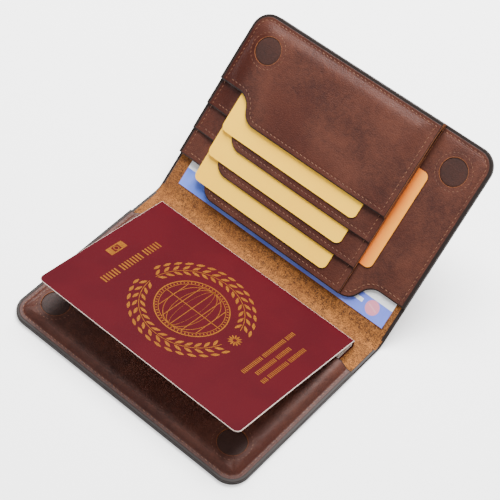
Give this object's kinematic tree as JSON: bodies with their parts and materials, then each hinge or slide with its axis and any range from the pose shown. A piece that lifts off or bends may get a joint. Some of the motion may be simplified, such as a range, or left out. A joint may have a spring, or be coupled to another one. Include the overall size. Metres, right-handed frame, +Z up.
{
  "type": "passport holder",
  "caption": "Folding leather passport holder, part open, with a passport pocket, stepped card slots, a ticket pocket and hidden magnets at the corners.",
  "frame": {"origin": "centre of the passport half's underside, which lies flat", "axes": "+X along the spine, to the right; +Y from the passport half towards the card half; +Z up"},
  "size_m": [0.145, 0.1866, 0.0781],
  "materials": {
    "leather": "satin",
    "suede": "matte",
    "cap_leather": "satin",
    "thread": "matte",
    "magnet": "satin",
    "passport_cover": "satin",
    "pages": "matte",
    "yellow_card": "matte",
    "orange_card": "matte",
    "ticket_paper": "matte"
  },
  "bodies": {
    "passport_half": {"cover_passport_side": "leather", "passport_pocket_panel": "leather", "pocket_magnet_left": "magnet", "pocket_magnet_right": "magnet", "pocket_magnet_cap_left": "cap_leather", "pocket_magnet_cap_right": "cap_leather", "pocket_magnet_thread_left": "thread", "pocket_magnet_thread_right": "thread", "pocket_seam_thread": "thread"},
    "spine_lower": {"spine_strip_lower": "suede", "crease_passport_side": "suede"},
    "spine_upper": {"spine_strip_upper": "suede", "crease_middle": "suede"},
    "card_half": {"cover_card_side": "leather", "crease_card_side": "suede", "ticket_pocket_panel": "leather", "slot_layer_front": "leather", "slot_layer_second": "leather", "slot_layer_third": "leather", "slot_layer_back": "leather", "card_magnet_left": "magnet", "card_magnet_right": "magnet", "card_magnet_cap_left": "cap_leather", "card_magnet_cap_right": "cap_leather", "card_magnet_thread_left": "thread", "card_magnet_thread_right": "thread", "card_perimeter_thread": "thread", "slot_thread_front": "thread", "slot_thread_second": "thread", "slot_thread_third": "thread", "slot_thread_back": "thread", "ticket_pocket_thread": "thread", "block_edge_thread": "thread"},
    "passport": {"passport_back_cover": "passport_cover", "passport_pages": "pages"},
    "passport_front": {"passport_front_cover": "passport_cover"},
    "upper_card": {"card_1": "yellow_card"},
    "middle_card": {"card_2": "yellow_card"},
    "lower_card": {"card_3": "yellow_card"},
    "side_card_body": {"side_card": "orange_card"},
    "ticket_body": {"ticket": "ticket_paper"}
  },
  "joints": [
    {"name": "passport_side_crease", "type": "hinge", "parent": "passport_half", "child": "spine_lower", "pos_m": [0, 0.04975, 0.0008], "axis": [-1, 0, 0], "range_deg": [-90, 0], "deforming": ["crease_passport_side"]},
    {"name": "middle_crease", "type": "hinge", "parent": "spine_lower", "child": "spine_upper", "pos_m": [0, 0.05695, 0.0008], "axis": [1, 0, 0], "range_deg": [-42, 0], "deforming": ["crease_middle"]},
    {"name": "card_side_crease", "type": "hinge", "parent": "spine_upper", "child": "card_half", "pos_m": [0, 0.0623, 0.00562], "axis": [-1, 0, 0], "range_deg": [-90, 0], "deforming": ["crease_card_side"]},
    {"name": "passport_slide", "type": "slide", "parent": "passport_half", "child": "passport", "axis": [0, 1, 0], "range_m": [-0.003, 0.004]},
    {"name": "passport_cover_hinge", "type": "hinge", "parent": "passport", "child": "passport_front", "pos_m": [0, 0.04855, 0.0062], "axis": [-1, 0, 0], "range_deg": [-12.4, 0]},
    {"name": "upper_card_slide", "type": "slide", "parent": "card_half", "child": "upper_card", "axis": [0, -0.7431, -0.6691], "range_m": [0, 0.04]},
    {"name": "middle_card_slide", "type": "slide", "parent": "card_half", "child": "middle_card", "axis": [0, -0.7431, -0.6691], "range_m": [0, 0.026]},
    {"name": "lower_card_slide", "type": "slide", "parent": "card_half", "child": "lower_card", "axis": [0, -0.7431, -0.6691], "range_m": [0, 0.014]},
    {"name": "side_card_slide", "type": "slide", "parent": "card_half", "child": "side_card_body", "axis": [1, 0, 0], "range_m": [-0.006, 0.055]},
    {"name": "ticket_slide", "type": "slide", "parent": "card_half", "child": "ticket_body", "axis": [0, -0.7431, -0.6691], "range_m": [-0.012, 0.005]}
  ],
  "couplings": [
    {"joint": "passport_cover_hinge", "follows": "passport_side_crease", "ratio": 0.13778}
  ]
}
